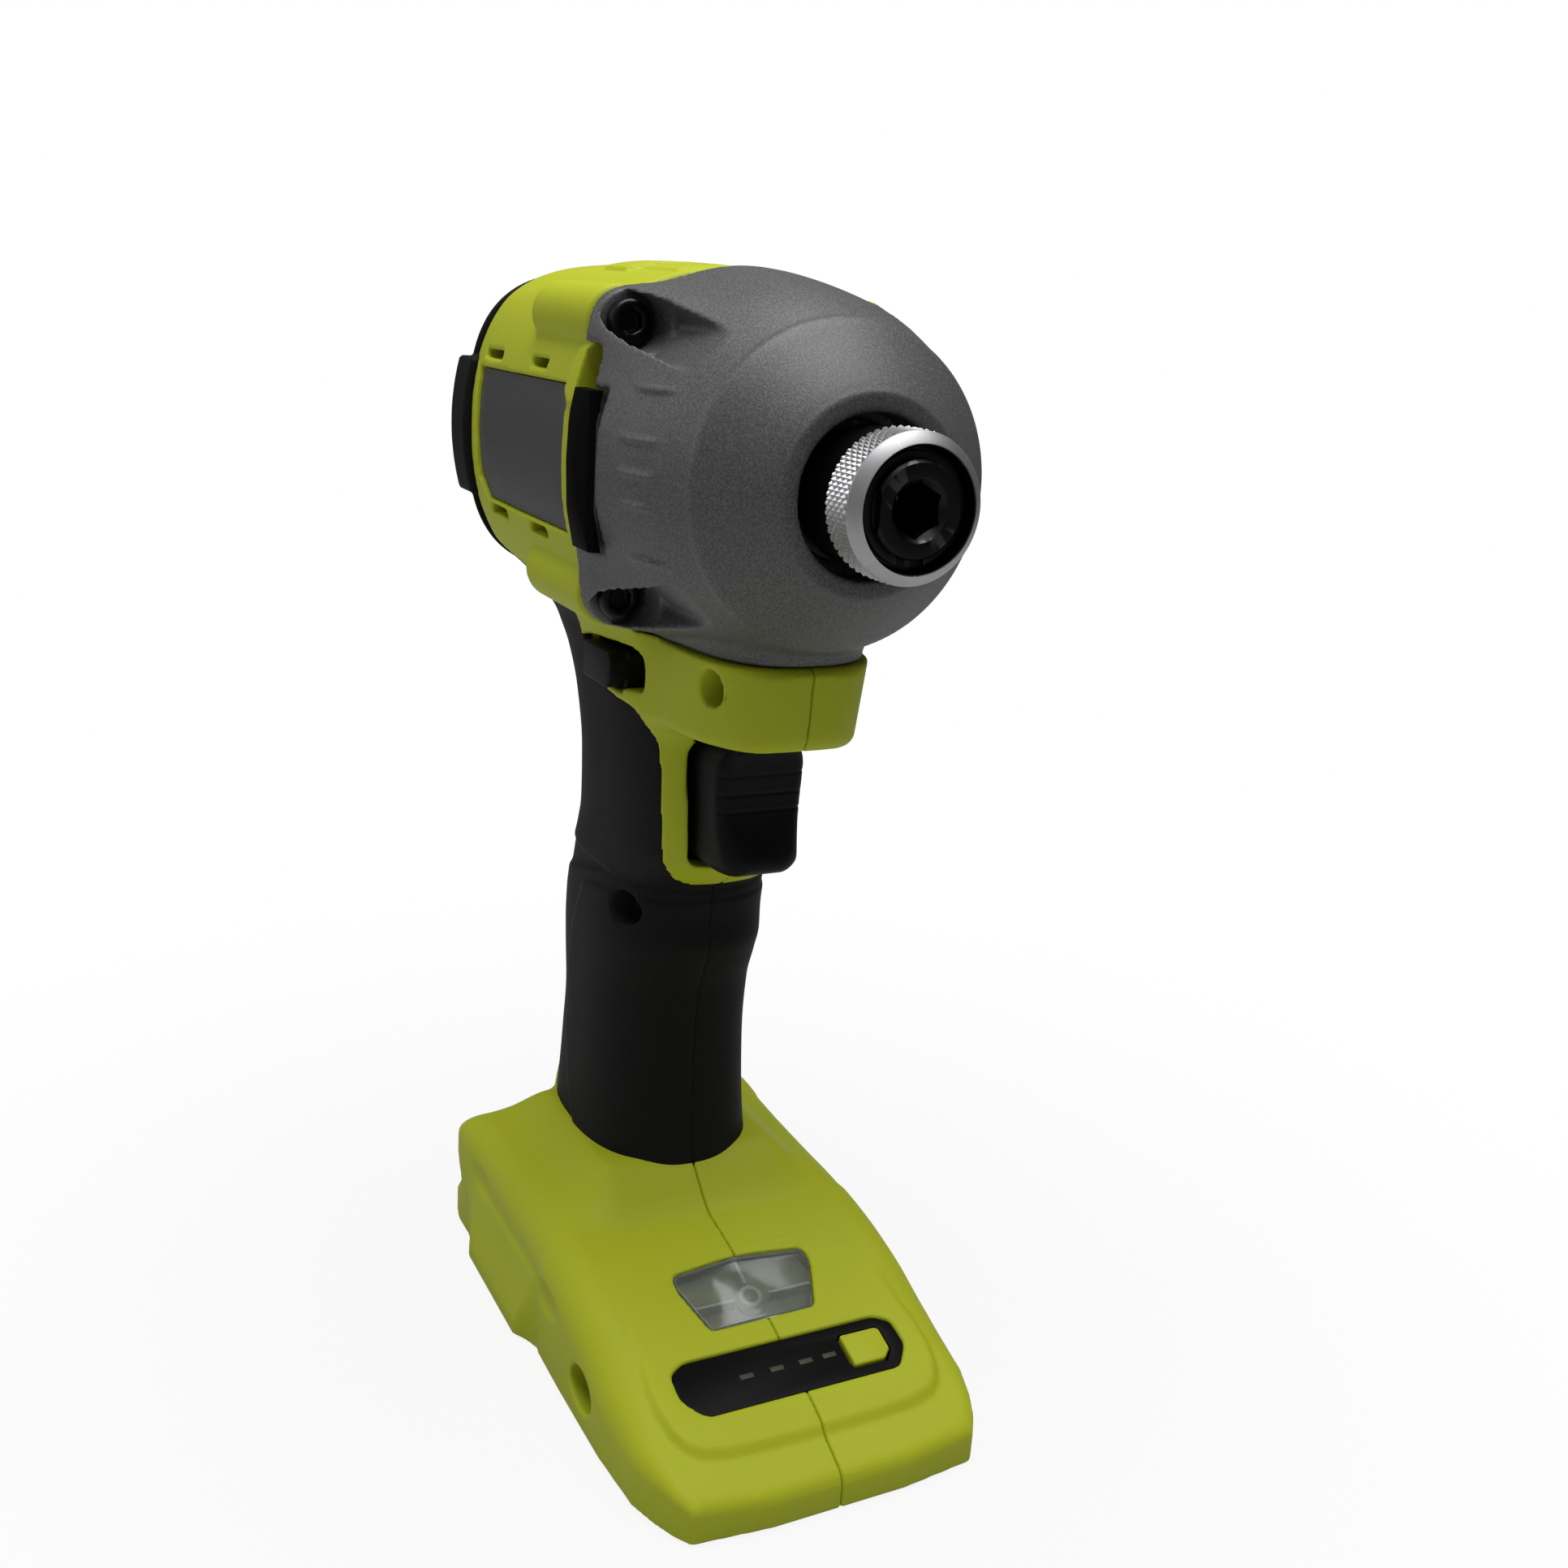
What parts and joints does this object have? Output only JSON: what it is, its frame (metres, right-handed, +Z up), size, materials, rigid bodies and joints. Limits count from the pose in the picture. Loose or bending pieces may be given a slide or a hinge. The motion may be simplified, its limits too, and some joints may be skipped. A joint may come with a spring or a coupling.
{
  "type": "impact driver",
  "caption": "Compact cordless impact driver with a lime housing, grey hammer case, black grip, knurled bit sleeve, sliding trigger and moving gear train, without a battery.",
  "frame": {"origin": "middle of the base of the overall box, under the handle", "axes": "+X along the spindle toward the bit, +Y to the user's left, +Z up from the battery foot"},
  "size_m": [0.119, 0.0632, 0.1756],
  "materials": {
    "shell_green": "satin moulded",
    "soft_black": "matte moulded",
    "hard_black": "satin moulded",
    "case_grey": "fine sand",
    "plate_grey": "satin",
    "bright_steel": "knurled",
    "black_steel": "black oxide",
    "machined_steel": "turned",
    "bearing_steel": "polished",
    "spring_steel": "drawn",
    "bush_bronze": "sintered",
    "core_steel": "laminated",
    "coil_copper": "enamelled",
    "board_green": "gloss",
    "blade_brass": "plated",
    "lens_clear": "clear moulded",
    "lamp_yellow": "gloss"
  },
  "bodies": {
    "case": {"housing_right": "shell_green", "housing_left": "shell_green", "grip_right": "soft_black", "grip_left": "soft_black", "rear_bumper_right": "soft_black", "rear_bumper_left": "soft_black", "side_bumper_right": "soft_black", "side_bumper_left": "soft_black", "spec_plate": "plate_grey", "hammer_case": "case_grey", "anvil_bush": "bush_bronze", "case_screws": "black_steel", "housing_screws": "black_steel", "ring_gear": "machined_steel", "gearbox_plate": "machined_steel", "spindle_bearing": "bearing_steel", "motor_bearing_front": "bearing_steel", "motor_bearing_rear": "bearing_steel", "stator_core": "core_steel", "stator_coils": "coil_copper", "sensor_board": "board_green", "switch_body": "hard_black", "control_board": "board_green", "terminal_block": "hard_black", "terminal_blades": "blade_brass", "lamp_lens": "lens_clear", "lamp_led": "lamp_yellow", "mode_panel": "hard_black"},
    "rotor": {"motor_shaft": "machined_steel", "rotor_core": "core_steel", "cooling_fan": "hard_black"},
    "cam": {"cam_spindle": "machined_steel", "planet_pins": "machined_steel", "cam_balls": "bearing_steel", "thrust_washer": "machined_steel", "hammer_spring": "spring_steel"},
    "planet_1": {"planet_gear_1": "machined_steel"},
    "planet_2": {"planet_gear_2": "machined_steel"},
    "planet_3": {"planet_gear_3": "machined_steel"},
    "hammer": {"hammer": "machined_steel"},
    "anvil": {"anvil": "black_steel", "bit_balls": "bearing_steel", "sleeve_spring": "spring_steel", "sleeve_washer": "black_steel", "sleeve_clip": "black_steel"},
    "sleeve": {"bit_sleeve": "bright_steel"},
    "trigger": {"trigger": "hard_black", "trigger_plunger": "hard_black"},
    "selector": {"direction_selector": "hard_black"},
    "mode_button": {"mode_button": "shell_green"}
  },
  "joints": [
    {"name": "cam_spin", "type": "hinge", "parent": "case", "child": "cam", "pos_m": [0, 0, 0.1472], "axis": [1, 0, 0], "continuous": true},
    {"name": "rotor_spin", "type": "hinge", "parent": "case", "child": "rotor", "pos_m": [0, 0, 0.1472], "axis": [1, 0, 0], "continuous": true},
    {"name": "anvil_spin", "type": "hinge", "parent": "case", "child": "anvil", "pos_m": [0, 0, 0.1472], "axis": [1, 0, 0], "continuous": true},
    {"name": "planet_1_spin", "type": "hinge", "parent": "cam", "child": "planet_1", "pos_m": [-0.0142, 0, 0.13595], "axis": [1, 0, 0], "continuous": true},
    {"name": "planet_2_spin", "type": "hinge", "parent": "cam", "child": "planet_2", "pos_m": [-0.0142, 0.00974, 0.15282], "axis": [1, 0, 0], "continuous": true},
    {"name": "planet_3_spin", "type": "hinge", "parent": "cam", "child": "planet_3", "pos_m": [-0.0142, -0.00974, 0.15282], "axis": [1, 0, 0], "continuous": true},
    {"name": "hammer_retract", "type": "slide", "parent": "cam", "child": "hammer", "axis": [-1, 0, 0], "range_m": [0, 0.0065], "stiffness_N_per_m": 9000, "springref_m": -0.004, "deforming": ["hammer_spring"]},
    {"name": "sleeve_slide", "type": "slide", "parent": "anvil", "child": "sleeve", "axis": [1, 0, 0], "range_m": [0, 0.004], "stiffness_N_per_m": 900, "springref_m": -0.003, "deforming": ["sleeve_spring"]},
    {"name": "trigger_slide", "type": "slide", "parent": "case", "child": "trigger", "axis": [-1, 0, 0], "range_m": [0, 0.0065], "stiffness_N_per_m": 1200, "springref_m": -0.004},
    {"name": "direction_slide", "type": "slide", "parent": "case", "child": "selector", "axis": [0, 1, 0], "range_m": [-0.0025, 0.0025]},
    {"name": "mode_press", "type": "slide", "parent": "case", "child": "mode_button", "axis": [-0.2874, 0, -0.9578], "range_m": [0, 0.0008], "stiffness_N_per_m": 1500, "springref_m": -0.0008}
  ],
  "couplings": [
    {"joint": "rotor_spin", "follows": "cam_spin", "ratio": 5},
    {"joint": "anvil_spin", "follows": "cam_spin", "ratio": 1},
    {"joint": "planet_1_spin", "follows": "cam_spin", "ratio": -2.6667},
    {"joint": "planet_2_spin", "follows": "cam_spin", "ratio": -2.6667},
    {"joint": "planet_3_spin", "follows": "cam_spin", "ratio": -2.6667}
  ]
}
